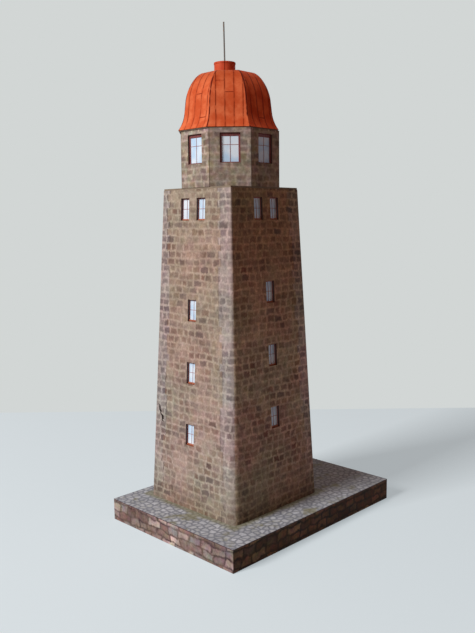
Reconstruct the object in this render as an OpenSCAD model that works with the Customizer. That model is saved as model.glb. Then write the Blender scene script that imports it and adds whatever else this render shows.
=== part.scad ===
// Observation tower: a card scale model of a battered stone tower. An octagonal
// lantern with a bell-shaped roof stands flush on the shaft, and the shaft stands
// on a paved stone terrace. The faces of the shaft are flat sheets, joined by
// corners that are sharp at the top and rolled ever wider towards the foot.
// Millimetres, +Z up, origin on the tower's axis at the underside of the terrace.
// The front looks along -Y, the right side along +X.

/* [Terrace] */
// Reach of the terrace to the left of the tower's axis
terrace_left = 38.5; // [32:0.5:60]
// Reach of the terrace to the right of the tower's axis
terrace_right = 46.5; // [32:0.5:70]
// Reach of the terrace in front of the tower's axis
terrace_front = 47.5; // [32:0.5:70]
// Reach of the terrace behind the tower's axis, deeper where the entrance is
terrace_back = 70; // [32:0.5:100]
// Height of the terrace, from the ground to its paving
terrace_h = 10.7; // [7:0.1:20]
// Thickness of the terrace's side walls
terrace_wall_card = 1.5; // [1:0.1:3]
// Thickness of the paved deck
terrace_deck_card = 1; // [0.6:0.1:2]
// Thickness of the sheet that closes the terrace below
terrace_base_card = 2; // [1:0.1:3]

/* [Shaft] */
// Width of the shaft at its foot, measured over its flat faces
shaft_foot_w = 61; // [50:0.5:72]
// Width of the shaft at its head, and of the lantern that stands flush on it
shaft_head_w = 46.3; // [38:0.1:49]
// Height of the shaft's walls above the paving
shaft_h = 153.4; // [120:0.1:200]
// Thickness of the shaft's walls
wall_card = 1.5; // [0.8:0.1:2.5]
// Width of the rolled corner on each face, at the foot of the shaft
corner_foot = 4; // [2.5:0.1:5.5]
// Width of the rolled corner on each face, at the head of the shaft
corner_head = 0.5; // [0.3:0.1:1.5]
// Thickness of the deck that closes the shaft
shaft_deck_card = 0.8; // [0.5:0.1:2]
// Step from the wall's face back to the edge of that deck
shaft_deck_inset = 0.3; // [0:0.1:0.8]

/* [Shaft windows] */
// Width of a window in the shaft
window_w = 5.8; // [4:0.1:8]
// Height of a window in the shaft
window_h = 10.4; // [7:0.1:14]
// Height of the sills of the two windows side by side under the head
pair_sill = 139; // [125:0.1:141]
// Distance between the centres of those two windows
pair_pitch = 11; // [10:0.1:14]
// Height of the lowest single sill on the front and the back
front_sill = 31.2; // [24:0.1:34]
// Height of the lowest single sill on the left and the right
side_sill = 39.8; // [24:0.1:42]
// Rise from one single window to the next
storey_pitch = 30.1; // [24:0.1:31]
// Number of single windows, one above the other
single_count = 3; // [1:1:3]
// Shift of the front's paired windows from the middle of the face
front_pair_shift = -1.6; // [-4:0.1:4]
// Shift of the front's single windows from the middle of the face
front_single_shift = -1.1; // [-4:0.1:4]
// Shift of the side's single windows from the middle of the face
side_single_shift = 0.4; // [-4:0.1:4]
// Thickness of the glazing sheets behind every window
glazing_card = 0.5; // [0.3:0.1:1]
// Width by which a glazing sheet overlaps the wall round its window
glazing_lap = 1; // [0.6:0.1:1.5]

/* [Door] */
// Width of the entrance in the back wall
door_w = 9; // [7:0.1:12]
// Height of the entrance
door_h = 18.5; // [14:0.1:22]
// Thickness of the door leaf that closes it from inside
door_card = 1; // [0.6:0.1:2]

/* [Lantern] */
// Height of the lantern's walls
lantern_h = 26.2; // [20:0.1:36]
// Thickness of the lantern's walls
lantern_card = 1.2; // [0.8:0.1:2]
// Width of a lantern window
lantern_window_w = 9.4; // [6:0.1:11]
// Height of a lantern window
lantern_window_h = 13.4; // [7:0.1:14]
// Height of the lantern's sills above its floor
lantern_sill = 10.7; // [3:0.1:11]

/* [Dome] */
// Thickness of the eave plate
eave_card = 0.5; // [0.4:0.1:1.5]
// Reach of the petals' feet beyond the lantern's walls
eave_overhang = 0.4; // [0:0.1:2]
// Step from the petals' feet back to the edge of the eave plate
eave_lip = 0.4; // [0.1:0.1:0.6]
// Thickness of a petal
petal_card = 0.8; // [0.5:0.1:1.2]
// Lean of the flare at the eave, in degrees from upright
flare_lean = 35; // [20:1:55]
// Radius of the hollow flare above the eave
flare_r = 17; // [8:0.5:18]
// Lean of the straight waist, in degrees from upright
waist_lean = 6; // [2:1:12]
// Height of the straight waist
waist_h = 4.7; // [1:0.1:10]
// Radius of the shoulder above the waist
shoulder_r = 22.5; // [12:0.5:28]
// Lean at the upper end of the shoulder
shoulder_lean = 37; // [20:1:40]
// Radius of the brow between the shoulder and the crown
brow_r = 10.5; // [8:0.5:16]
// Lean at the upper end of the brow
brow_lean = 58; // [45:1:70]
// Radius of the last bend, which ends in the level crown
crown_r = 3.5; // [3:0.5:7]
// Distance from the axis to the petals' tips, under the cap
crown_gap = 1.5; // [1:0.1:2]
// Shift of the roof on the lantern, as it was glued
roof_shift_x = -0.5; // [-0.6:0.1:0.6]
// Shift of the roof on the lantern towards the back
roof_shift_y = -0.5; // [-0.6:0.1:0.6]

/* [Finial] */
// Diameter of the cap's drum
cap_d = 10.1; // [7:0.1:11]
// Height of the cap's drum
cap_h = 4.6; // [2:0.1:8]
// Diameter of the disc that closes the cap
cap_disc_d = 10.4; // [7:0.1:12]
// Thickness of that disc
cap_disc_card = 0.8; // [0.4:0.1:2]
// Shift of the cap on the dome, as it was glued
cap_shift_x = -1; // [-2:0.1:2]
// Shift of the cap on the dome towards the back
cap_shift_y = -1; // [-2:0.1:2]
// Diameter of the wire spire
spire_d = 0.7; // [0.5:0.1:1.5]
// Height of the spire above the cap
spire_h = 18.9; // [8:0.1:30]
// Lean of the spire towards the left, in degrees
spire_lean = 1.2; // [0:0.1:3]

/* [Hidden] */
$fn = 64;
SIDES = ["front", "front_right", "right", "back_right", "back", "back_left", "left", "front_left"];

// Quarter turns from the front to each face of the shaft
FRONT = 0;
RIGHT = 1;
BACK = 2;
LEFT = 3;

// Colours of the printed card
STONE = "#8f7766";
QUOIN = "#94867f";
LANTERN_STONE = "#87786a";
TERRACE_STONE = "#8f6a5c";
PAVING = "#a29fa6";
GLAZING = "#cfdcec";
ROOF = "#dd5a30";
DOOR_WOOD = "#5b3a2c";
WIRE = "#4a4542";

// Levels, each standing on the one below
shaft_z = terrace_h;
shaft_deck_z = shaft_z + shaft_h;
lantern_z = shaft_deck_z + shaft_deck_card;
eave_z = lantern_z + lantern_h;
petal_z = eave_z + eave_card;

// Length by which a cutting body or an uncut sheet runs past the real edge
over = 3;

// The batter. A height on a leaning face is measured up the slope.
foot_half = shaft_foot_w / 2;
head_half = shaft_head_w / 2;
batter = atan((foot_half - head_half) / shaft_h);
slope_h = shaft_h / cos(batter);

// The rolled corners. Each is part of a right cone that touches both faces. Its
// tip lies on the line where the faces would meet, at the slope distance where
// the width of the rolled corner has run out.
tip_v = slope_h * corner_foot / (corner_foot - corner_head);
tip_half = foot_half - tip_v * sin(batter);
tip_z = tip_v * cos(batter);
// Run of the touching line across the face, for each unit down the slope
touch_run = sin(batter) - corner_foot / tip_v;
// Outward run of the cone's axis along X and along Y, for each unit of drop
axis_run = touch_run * cos(batter) / (1 - touch_run * sin(batter));
axis_slant = sqrt(1 + 2 * pow(axis_run, 2));
axis_tilt = atan(axis_run * sqrt(2));
cone_half_angle = asin((sin(batter) - axis_run * cos(batter)) / axis_slant);
roll_angle = acos((pow(sin(batter), 2) - pow(sin(cone_half_angle), 2)) / pow(cos(cone_half_angle), 2));

// Half of an octagon's side, for each unit of its apothem
OCTAGON_HALF_SIDE = tan(22.5);
lantern_apothem = head_half;

// The dome's outline, as [distance from the axis, height, lean] from eave to crown
PROFILE_STEP = 3;
petal_foot = [lantern_apothem + eave_overhang, 0, flare_lean];
flare = bend(petal_foot, flare_r, waist_lean);
waist_end = lean_on(flare[len(flare) - 1], waist_h);
shoulder = bend(waist_end, shoulder_r, shoulder_lean);
brow = bend(shoulder[len(shoulder) - 1], brow_r, brow_lean);
crown = bend(brow[len(brow) - 1], crown_r, 90);
dome_h = crown[len(crown) - 1][1];
petal_tip = [crown_gap, dome_h, 90];
dome_line = concat([petal_foot], flare, shoulder, brow, crown, [petal_tip]);
cap_z = petal_z + dome_h;

// ---- outlines ----

// Points of an arc that turns the lean of p to a new one, without p itself
function bend(p, r, lean) =
    let (steps = ceil(abs(lean - p[2]) / PROFILE_STEP))
    [for (i = [1 : steps])
        let (a = p[2] + (lean - p[2]) * i / steps)
        [p[0] - r * abs(cos(a) - cos(p[2])), p[1] + r * abs(sin(a) - sin(p[2])), a]];

// End of a straight stretch of height h that keeps the lean of p
function lean_on(p, h) = [p[0] - h * tan(p[2]), p[1] + h, p[2]];

// The point of the petal's inner face behind p
function behind(p) = [p[0] - petal_card * cos(p[2]), p[1] - petal_card * sin(p[2])];

// Width from the middle of a face to its touching line, at slope distance v
function touch_half(v) = tip_half + (tip_v - v) * touch_run;

// Centres across the face and sill heights of a face's windows
function pair_places(shift) = [for (side = [-1, 1]) [shift + side * pair_pitch / 2, pair_sill]];
function single_places(shift, sill) =
    [for (i = [0 : single_count - 1]) [shift, sill + i * storey_pitch]];
front_places = concat(pair_places(front_pair_shift), single_places(front_single_shift, front_sill));
side_places = concat(pair_places(0), single_places(side_single_shift, side_sill));

// ---- shaft ----

// Puts a sheet drawn in XY, with its outer side at z = 0, on a face of the shaft
module on_face(turn) {
    translate([0, 0, shaft_z])
        rotate([0, 0, 90 * turn])
            translate([0, -foot_half, 0])
                rotate([90 - batter, 0, 0])
                    children();
}

// The level band that the shaft's sheets are trimmed to
module shaft_band() {
    translate([-foot_half - over, -foot_half - over, shaft_z])
        cube([shaft_foot_w + 2 * over, shaft_foot_w + 2 * over, shaft_h]);
}

// One flat face between its two touching lines, uncut and untrimmed
module face_sheet(turn) {
    low = -over;
    high = slope_h + over;
    on_face(turn)
        translate([0, 0, -wall_card])
            linear_extrude(wall_card)
                polygon([
                    [-touch_half(low), low],
                    [touch_half(low), low],
                    [touch_half(high), high],
                    [-touch_half(high), high]
                ]);
}

// Cuts through a face for its windows
module window_cuts(turn, places) {
    on_face(turn)
        for (place = places)
            translate([place[0] - window_w / 2, place[1] / cos(batter), -wall_card - over])
                cube([window_w, window_h, wall_card + 2 * over]);
}

// A panel that closes an opening from inside, overlapping the wall round it
module backing_sheet(x, sill, w, h, card) {
    translate([x - w / 2 - glazing_lap, sill - glazing_lap, -wall_card - card])
        cube([w + 2 * glazing_lap, h + 2 * glazing_lap, card]);
}

// The glazing sheets of one face
module face_glazing(turn, places) {
    color(GLAZING)
        on_face(turn)
            for (place = places)
                backing_sheet(place[0], place[1] / cos(batter), window_w, window_h, glazing_card);
}

// Front and back sheets run through between the corners
module front_wall() {
    color(STONE)
        difference() {
            intersection() {
                face_sheet(FRONT);
                shaft_band();
            }
            window_cuts(FRONT, front_places);
        }
}

module back_wall() {
    color(STONE)
        difference() {
            intersection() {
                face_sheet(BACK);
                shaft_band();
            }
            window_cuts(BACK, front_places);
            on_face(BACK)
                translate([-door_w / 2, -over, -wall_card - over])
                    cube([door_w, door_h + over, wall_card + 2 * over]);
        }
}

// The left and right sheets butt against the front and back ones from behind
module side_wall(turn) {
    color(STONE)
        difference() {
            intersection() {
                face_sheet(turn);
                shaft_band();
            }
            face_sheet(FRONT);
            face_sheet(BACK);
            window_cuts(turn, side_places);
        }
}

// The rolled strip between two faces, cut from a cone of card. The strip whose
// turn is 0 joins the front to the right side.
module rolled_corner(turn) {
    cone_h = (tip_z + over) * axis_slant;
    foot_r = cone_h * tan(cone_half_angle);
    color(QUOIN)
        intersection() {
            rotate([0, 0, 90 * turn])
                translate([tip_half, -tip_half, shaft_z + tip_z])
                    rotate([0, 180 - axis_tilt, -45])
                        rotate([0, 0, 180 - roll_angle / 2])
                            rotate_extrude(angle = roll_angle)
                                polygon([
                                    [0, 0],
                                    [foot_r, cone_h],
                                    [foot_r - wall_card / cos(cone_half_angle), cone_h],
                                    [0, wall_card / sin(cone_half_angle)]
                                ]);
            shaft_band();
        }
}

// The plain door leaf behind the opening in the back wall
module entrance_door() {
    color(DOOR_WOOD)
        intersection() {
            on_face(BACK)
                backing_sheet(0, 0, door_w, door_h, door_card);
            shaft_band();
        }
}

module shaft_deck() {
    w = shaft_head_w - 2 * shaft_deck_inset;
    color(LANTERN_STONE)
        translate([-w / 2, -w / 2, shaft_deck_z])
            cube([w, w, shaft_deck_card]);
}

// ---- terrace ----

terrace_w = terrace_left + terrace_right;
terrace_d = terrace_front + terrace_back;
terrace_wall_h = terrace_h - terrace_deck_card;

module terrace_base() {
    t = terrace_wall_card;
    color(TERRACE_STONE)
        translate([-terrace_left + t, -terrace_front + t, 0])
            cube([terrace_w - 2 * t, terrace_d - 2 * t, terrace_base_card]);
}

module terrace_deck() {
    color(PAVING)
        translate([-terrace_left, -terrace_front, terrace_wall_h])
            cube([terrace_w, terrace_d, terrace_deck_card]);
}

// A terrace wall that runs along X, with its outer corner at y
module terrace_long_wall(y) {
    color(TERRACE_STONE)
        translate([-terrace_left, y, 0])
            cube([terrace_w, terrace_wall_card, terrace_wall_h]);
}

// A terrace wall that runs along Y between the other two
module terrace_cross_wall(x) {
    color(TERRACE_STONE)
        translate([x, -terrace_front + terrace_wall_card, 0])
            cube([terrace_wall_card, terrace_d - 2 * terrace_wall_card, terrace_wall_h]);
}

// ---- lantern ----

// One side of the octagon, mitred to its neighbours
module lantern_wall(i) {
    inner = lantern_apothem - lantern_card;
    outer_half = lantern_apothem * OCTAGON_HALF_SIDE;
    inner_half = inner * OCTAGON_HALF_SIDE;
    color(LANTERN_STONE)
        translate([0, 0, lantern_z])
            rotate([0, 0, 45 * i])
                difference() {
                    linear_extrude(lantern_h)
                        polygon([
                            [-outer_half, -lantern_apothem],
                            [outer_half, -lantern_apothem],
                            [inner_half, -inner],
                            [-inner_half, -inner]
                        ]);
                    translate([-lantern_window_w / 2, -lantern_apothem - over, lantern_sill])
                        cube([lantern_window_w, lantern_card + 2 * over, lantern_window_h]);
                }
}

module lantern_windows() {
    w = lantern_window_w + 2 * glazing_lap;
    h = lantern_window_h + 2 * glazing_lap;
    color(GLAZING)
        translate([0, 0, lantern_z + lantern_sill - glazing_lap])
            for (i = [0 : 7])
                rotate([0, 0, 45 * i])
                    translate([-w / 2, lantern_card - lantern_apothem, 0])
                        cube([w, glazing_card, h]);
}

// ---- dome ----

module eave_plate() {
    r = (petal_foot[0] - eave_lip) / cos(22.5);
    color(LANTERN_STONE)
        translate([roof_shift_x, roof_shift_y, eave_z])
            rotate([0, 0, 22.5])
                cylinder(h = eave_card, r = r, $fn = 8);
}

// One petal: the bell outline carried straight along the eave and mitred at both
// hips, so that each petal bends in one direction only, as sheet does
module dome_petal(i) {
    reach = petal_foot[0] + over;
    inner_line = [for (p = dome_line) if (behind(p)[1] > 0) behind(p)];
    last = len(inner_line) - 1;
    color(ROOF)
        translate([roof_shift_x, roof_shift_y, petal_z])
            rotate([0, 0, 45 * i - 90])
                intersection() {
                    rotate([90, 0, 0])
                        linear_extrude(2 * reach, center = true)
                            polygon(concat(
                                [for (p = dome_line) [p[0], p[1]]],
                                [for (k = [0 : last]) inner_line[last - k]],
                                [[petal_foot[0] - petal_card / cos(flare_lean), 0]]
                            ));
                    linear_extrude(dome_h)
                        polygon([
                            [0, 0],
                            [reach, -reach * OCTAGON_HALF_SIDE],
                            [reach, reach * OCTAGON_HALF_SIDE]
                        ]);
                }
}

// ---- finial ----

module on_cap(z) {
    translate([roof_shift_x + cap_shift_x, roof_shift_y + cap_shift_y, cap_z + z])
        children();
}

module cap_drum() {
    color(ROOF)
        on_cap(0)
            cylinder(h = cap_h, d = cap_d);
}

module cap_disc() {
    color(ROOF)
        on_cap(cap_h)
            cylinder(h = cap_disc_card, d = cap_disc_d);
}

// The wire is cut level where it meets the disc
module spire() {
    color(WIRE)
        on_cap(cap_h + cap_disc_card)
            intersection() {
                rotate([0, -spire_lean, 0])
                    translate([0, 0, -over])
                        cylinder(h = spire_h + over, d = spire_d);
                translate([-spire_h, -spire_h, 0])
                    cube([2 * spire_h, 2 * spire_h, 2 * spire_h]);
            }
}

terrace_base();
terrace_deck();
terrace_long_wall(-terrace_front);  // terrace_front_wall
terrace_cross_wall(terrace_right - terrace_wall_card);  // terrace_right_wall
terrace_long_wall(terrace_back - terrace_wall_card);  // terrace_back_wall
terrace_cross_wall(-terrace_left);  // terrace_left_wall
front_wall();
side_wall(RIGHT);  // right_wall
back_wall();
side_wall(LEFT);  // left_wall
rolled_corner(FRONT);  // front_right_corner
rolled_corner(RIGHT);  // back_right_corner
rolled_corner(BACK);  // back_left_corner
rolled_corner(LEFT);  // front_left_corner
face_glazing(FRONT, front_places);  // front_windows
face_glazing(RIGHT, side_places);  // right_windows
face_glazing(BACK, front_places);  // back_windows
face_glazing(LEFT, side_places);  // left_windows
entrance_door();
shaft_deck();
for (i = [0 : 7])
    lantern_wall(i);
lantern_windows();
eave_plate();
for (i = [0 : 7])
    dome_petal(i);
cap_drum();
cap_disc();
spire();
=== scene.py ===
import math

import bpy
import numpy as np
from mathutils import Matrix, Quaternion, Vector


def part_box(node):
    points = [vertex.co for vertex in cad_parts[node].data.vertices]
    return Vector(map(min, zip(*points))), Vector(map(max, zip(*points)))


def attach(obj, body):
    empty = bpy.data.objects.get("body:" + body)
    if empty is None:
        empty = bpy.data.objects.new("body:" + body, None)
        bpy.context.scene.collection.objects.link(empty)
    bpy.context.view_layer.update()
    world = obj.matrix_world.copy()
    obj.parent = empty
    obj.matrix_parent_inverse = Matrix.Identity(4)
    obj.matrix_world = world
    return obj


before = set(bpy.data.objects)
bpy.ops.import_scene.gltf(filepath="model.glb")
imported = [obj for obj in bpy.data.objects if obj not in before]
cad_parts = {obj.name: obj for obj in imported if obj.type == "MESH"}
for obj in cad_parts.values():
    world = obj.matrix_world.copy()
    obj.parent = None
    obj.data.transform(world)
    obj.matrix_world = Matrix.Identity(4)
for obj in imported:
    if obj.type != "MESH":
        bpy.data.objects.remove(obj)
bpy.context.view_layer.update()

# Looks of a card model of an observation tower. Its sheets of card stand in the frame
# already. Here they get their printed finishes, and the windows and the entrance get their
# bars, sills and boards. Sizes are in millimetres, except on the stage. Only a mesh's own
# points are in metres.

MM = 0.001
SIDES = ["front", "front_right", "right", "back_right", "back", "back_left", "left", "front_left"]
FACES = ["front", "right", "back", "left"]

# ---- sizes taken from the frame ----


def low_of(node):
    """A node's lowest corner in millimetres."""
    return np.array(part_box(node)[0]) / MM


def high_of(node):
    """A node's highest corner in millimetres."""
    return np.array(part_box(node)[1]) / MM


PAVING_Z = high_of("terrace_deck")[2]
SHAFT_H = high_of("front_wall")[2] - low_of("front_wall")[2]
FOOT_HALF = -low_of("front_wall")[1]
HEAD_HALF = -low_of("lantern_wall_front")[1]
BATTER = math.atan((FOOT_HALF - HEAD_HALF) / SHAFT_H)
LANTERN_Z = low_of("lantern_wall_front")[2]
EAVE_Z = low_of("dome_petal_front")[2]
ROOF_H = high_of("dome_petal_front")[2] - EAVE_Z
ROOF_X = (low_of("dome_petal_left")[0] + high_of("dome_petal_right")[0]) / 2
ROOF_Y = (low_of("dome_petal_front")[1] + high_of("dome_petal_back")[1]) / 2
CAP_X, CAP_Y = ((low_of("cap_drum") + high_of("cap_drum")) / 2)[:2]

# Width by which each glazing sheet, and the door leaf, runs behind the wall round its opening
LAP = 1.0


# ---- node helpers ----

# A MapRange node takes a value, two limits, and what it gives at them, which is 0 and 1 unless
# stated. These settings make the rise between the limits smooth.
SMOOTH = {"interpolation_type": "SMOOTHSTEP"}


def srgb(code):
    """A hex colour such as #c08040 as linear light, which shaders work in."""
    parts = [int(code[i : i + 2], 16) / 255 for i in (1, 3, 5)]
    linear = [p / 12.92 if p <= 0.04045 else ((p + 0.055) / 1.055) ** 2.4 for p in parts]
    return (*linear, 1.0)


def output_of(value):
    """A node stands for its first output in use. Sockets, numbers and colours stay as they are."""
    if isinstance(value, bpy.types.Node):
        return next(socket for socket in value.outputs if socket.enabled)
    return value


def add(tree, kind, inputs=(), stops=(), **settings):
    """Adds one shader node with its settings. Inputs are numbers, colours, sockets or nodes,
    listed in order or named. Stops are a ramp's colours, evenly spread."""
    made = tree.nodes.new("ShaderNode" + kind)
    for key, value in settings.items():
        setattr(made, key, value)
    for i, code in enumerate(stops):
        place = i / (len(stops) - 1)
        elements = made.color_ramp.elements
        element = elements[i] if i < 2 else elements.new(place)
        element.position = place
        element.color = srgb(code)
    open_inputs = [s for s in made.inputs if s.enabled]
    for key, value in inputs.items() if isinstance(inputs, dict) else enumerate(inputs):
        socket = made.inputs[key] if isinstance(key, str) else open_inputs[key]
        value = output_of(value)
        if isinstance(value, bpy.types.NodeSocket):
            tree.links.new(value, socket)
        else:
            socket.default_value = value
    return made


def tone_of(tree, place, size, low, high, **detail):
    """A soft factor between low and high for a colour, in clouds of the given size."""
    clouds = add(tree, "TexNoise", {"Vector": place, "Scale": 1 / size, **detail})
    return add(tree, "MapRange", [clouds, 0.3, 0.7, low, high])


def patches_of(tree, place, size, start, end, **detail):
    """Share of soft patches at a point: random clouds of the given size, with a smooth rise
    from 0 to 1 between two of their values."""
    clouds = add(tree, "TexNoise", {"Vector": place, "Scale": 1 / size, **detail})
    return add(tree, "MapRange", [clouds, start, end], **SMOOTH)


def new_material(name, roughness, specular=0.35, **shader):
    """A material with one shader. Returns it with its tree, shader and place in millimetres."""
    made = bpy.data.materials.new(name)
    made.use_nodes = True
    tree = made.node_tree
    tree.nodes.clear()
    values = {"Roughness": roughness, "Specular IOR Level": specular, **shader}
    surface = add(tree, "BsdfPrincipled", values)
    add(tree, "OutputMaterial", [surface])
    coords = add(tree, "TexCoord")
    place = add(
        tree, "VectorMath", [coords.outputs["Object"], (1 / MM,) * 3], operation="MULTIPLY"
    )
    return made, tree, surface, place


def colour_card(tree, surface, place, colour, relief=0.012):
    """Gives the shader of a piece of card its colour, and as bump the faint felt of the paper's
    fibres, whose height is the relief."""
    felt = add(tree, "TexNoise", {"Vector": place, "Scale": 1 / FIBRE, "Detail": 3.0})
    bump = add(tree, "Bump", {"Height": felt, "Distance": relief * MM, "Strength": 0.6})
    tree.links.new(bump.outputs["Normal"], surface.inputs["Normal"])
    tree.links.new(output_of(colour), surface.inputs["Base Color"])


# ---- patterns of the prints ----

# Spacing of the paper's fibres, drawn coarser than real ones so that they show, and sizes of a
# coarse print's specks, blots and flecks of tint
FIBRE = 0.35
SPECK = 0.7
BLOT = 1.9
FLECK = 3.5
# A course slides by up to this many stones, and its stones' widths vary by up to this share
SLIDE = 61.0
VARIETY = 0.72
# A stone's edge: from mortar to full tone over these distances to the joint, blots included
EDGE_FROM, EDGE_TO = 1.15, 2.25
# Size of the patches in which stones fade, and how much less and more they show there
FADE = 13.0
FADE_LESS, FADE_MORE = 0.5, 0.22


def round_axis(tree, place, centre, sides):
    """Divides the plan round an upright axis into equal sides, the first one facing -Y. Returns
    each point's side number, its distance across that side, its distance out, and its height."""
    step = math.tau / sides
    local = add(tree, "VectorMath", [place, centre], operation="SUBTRACT")
    axes = add(tree, "SeparateXYZ", [local])
    ahead = add(tree, "Math", [axes.outputs["Y"], -1.0], operation="MULTIPLY")
    turn = add(tree, "Math", [axes.outputs["X"], ahead], operation="ARCTAN2")
    part = add(tree, "Math", [turn, step], operation="DIVIDE")
    nearest = add(tree, "Math", [part], operation="ROUND")
    rest = add(tree, "Math", [nearest, -step, turn], operation="MULTIPLY_ADD")
    level = add(tree, "VectorMath", [local, (1.0, 1.0, 0.0)], operation="MULTIPLY")
    reach = add(tree, "VectorMath", [level], operation="LENGTH").outputs["Value"]
    sine = add(tree, "Math", [rest], operation="SINE")
    cosine = add(tree, "Math", [rest], operation="COSINE")
    across = add(tree, "Math", [sine, reach], operation="MULTIPLY")
    out = add(tree, "Math", [cosine, reach], operation="MULTIPLY")
    side = add(tree, "Math", [nearest, float(sides)], operation="FLOORED_MODULO")
    return side, across, out, axes.outputs["Z"]


def to_next_side(tree, across, half):
    """Distance to the line where a side of the given half width meets the next one."""
    off_middle = add(tree, "Math", [across], operation="ABSOLUTE")
    return add(tree, "Math", [half, off_middle], operation="SUBTRACT")


def off_line(tree, place, distance, size, sway):
    """How far a point is off a line that sways to both sides of a straight one, from its
    distance to the straight one."""
    drift = add(tree, "TexNoise", {"Vector": place, "Scale": 1 / size, "Detail": 2.0})
    shift = add(tree, "Math", [drift, sway, -sway / 2], operation="MULTIPLY_ADD")
    shifted = add(tree, "Math", [distance, shift], operation="ADD")
    return add(tree, "Math", [shifted], operation="ABSOLUTE")


def courses(tree, place, across, up, side, course, stone, wander):
    """Stones in level courses, of random widths about the given one. Each course slides by a
    random length, and the joints wander a little. Returns the distance to the nearest joint, a
    random colour for each stone and a random number for each course."""
    drift = add(tree, "TexNoise", {"Vector": place, "Scale": 0.45 / course, "Detail": 1.0})
    sway = add(tree, "SeparateColor", [drift.outputs["Color"]])
    along = add(tree, "Math", [sway.outputs["Red"], wander, across], operation="MULTIPLY_ADD")
    height = add(tree, "Math", [sway.outputs["Green"], wander, up], operation="MULTIPLY_ADD")
    level_gap = add(tree, "Math", [height, course / 2], operation="PINGPONG")
    rows = add(tree, "Math", [height, course], operation="DIVIDE")
    row = add(tree, "Math", [rows], operation="FLOOR")
    key = add(tree, "CombineXYZ", [row, side, 0.0])
    chance = add(tree, "TexWhiteNoise", {"Vector": key}, noise_dimensions="2D").outputs["Value"]
    stones = add(tree, "Math", [along, stone], operation="DIVIDE")
    slid = add(tree, "Math", [chance, SLIDE, stones], operation="MULTIPLY_ADD")
    cell = {"W": slid, "Scale": 1.0, "Randomness": VARIETY}
    each = add(tree, "TexVoronoi", cell, voronoi_dimensions="1D")
    ends = add(tree, "TexVoronoi", cell, voronoi_dimensions="1D", feature="DISTANCE_TO_EDGE")
    end_gap = add(tree, "Math", [ends.outputs["Distance"], stone], operation="MULTIPLY")
    gap = add(tree, "Math", [level_gap, end_gap, 0.5], operation="SMOOTH_MIN")
    return gap, each.outputs["Color"], chance


def printed_stones(tree, place, gap, dice, stone, mortar, shallow, flecked, patchy=1.0):
    """Stones in mortar as a coarse print gives them: blots and specks fray each stone's edge,
    some stones fade to the mortar by up to the shallow share, whole patches of them fade too,
    and all is mottled and flecked in tint."""
    blots = add(tree, "TexNoise", {"Vector": place, "Scale": 1 / BLOT, "Detail": 2.0})
    specks = add(
        tree, "TexNoise", {"Vector": place, "Scale": 1 / SPECK, "Detail": 3.0, "Roughness": 0.6}
    )
    blotted = add(tree, "Math", [blots, 1.5, gap], operation="MULTIPLY_ADD")
    frayed = add(tree, "Math", [specks, blotted], operation="ADD")
    body = add(tree, "MapRange", [frayed, EDGE_FROM, EDGE_TO], **SMOOTH)
    depth = add(
        tree, "Math", [dice.outputs["Green"], shallow, 1.0 - shallow], operation="MULTIPLY_ADD"
    )
    least, most = 1.0 - FADE_LESS * patchy, 1.0 + FADE_MORE * patchy
    faded = tone_of(tree, place, FADE, least, most, Detail=1.0)
    kept = add(tree, "Math", [depth, faded], operation="MULTIPLY")
    shown = add(tree, "Math", [body, kept], operation="MULTIPLY", use_clamp=True)
    printed = add(tree, "Mix", [shown, mortar, stone], data_type="RGBA")
    coarse = tone_of(tree, place, 2.6, 0.86, 1.14, Detail=2.0)
    fine = tone_of(tree, place, 0.9, 0.82, 1.16, Detail=3.0)
    tone = add(tree, "Math", [coarse, fine], operation="MULTIPLY")
    toned = add(tree, "VectorMath", [printed, tone], operation="MULTIPLY")
    tints = add(tree, "TexNoise", {"Vector": place, "Scale": 1 / FLECK, "Detail": 3.0})
    spread = [tints.outputs["Color"], (flecked,) * 3, (1.0 - flecked / 2,) * 3]
    fleck = add(tree, "VectorMath", spread, operation="MULTIPLY_ADD")
    return add(tree, "VectorMath", [toned, fleck], operation="MULTIPLY")


def with_cut_edges(tree, printed, face, out):
    """The printed face of a sheet and, behind that face, the cut edges of the card: a pale
    arris, then paint, brown on a sill, crimson under a head and maroon on a jamb."""
    behind = add(tree, "Math", [face, out], operation="SUBTRACT")
    facing = add(tree, "NewGeometry")
    normal = add(tree, "SeparateXYZ", [facing.outputs["Normal"]])
    on_sill = add(tree, "Math", [normal.outputs["Z"], 0.7], operation="GREATER_THAN")
    under_head = add(tree, "Math", [normal.outputs["Z"], -0.7], operation="LESS_THAN")
    upright = add(tree, "Mix", [under_head, srgb("#625150"), srgb("#7c2c38")], data_type="RGBA")
    paint = add(tree, "Mix", [on_sill, upright, srgb("#98563f")], data_type="RGBA")
    at_arris = add(tree, "MapRange", [behind, 0.3, 0.15], **SMOOTH)
    edge = add(tree, "Mix", [at_arris, paint, srgb("#9c7462")], data_type="RGBA")
    is_cut = add(tree, "MapRange", [behind, 0.05, 0.12], **SMOOTH)
    return add(tree, "Mix", [is_cut, printed, edge], data_type="RGBA")


def plain_card(name, code):
    """Plain printed card in one tone with soft clouds, as on edges and decks that carry no
    pattern."""
    made, tree, surface, place = new_material(name, roughness=0.7)
    tone = tone_of(tree, place, 3, 0.85, 1.1, Detail=4.0)
    clouded = add(tree, "VectorMath", [srgb(code)[:3], tone], operation="MULTIPLY")
    colour_card(tree, surface, place, clouded)
    return made


# ---- materials of the shaft ----

COURSE = 3.4
STONE = 4.6
FIELD_STONES = ["#6a5b58", "#82726b", "#8e7f72", "#806862"]
FIELD_STONES += ["#796f6f", "#988c80", "#705b57", "#8a7f7a"]
QUOIN_STONES = ["#655d64", "#7e767f", "#6b636c", "#8a838b", "#706971"]

# Width of the band of quoins beside a corner, and how much further every other course reaches
QUOIN_BAND = 6.8
TOOTH = 1.7
EVEN_BAND = (QUOIN_BAND, QUOIN_BAND)
# The right side has no band on its left: its width there puts the edge outside the face
NO_BAND = -5.0
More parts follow.
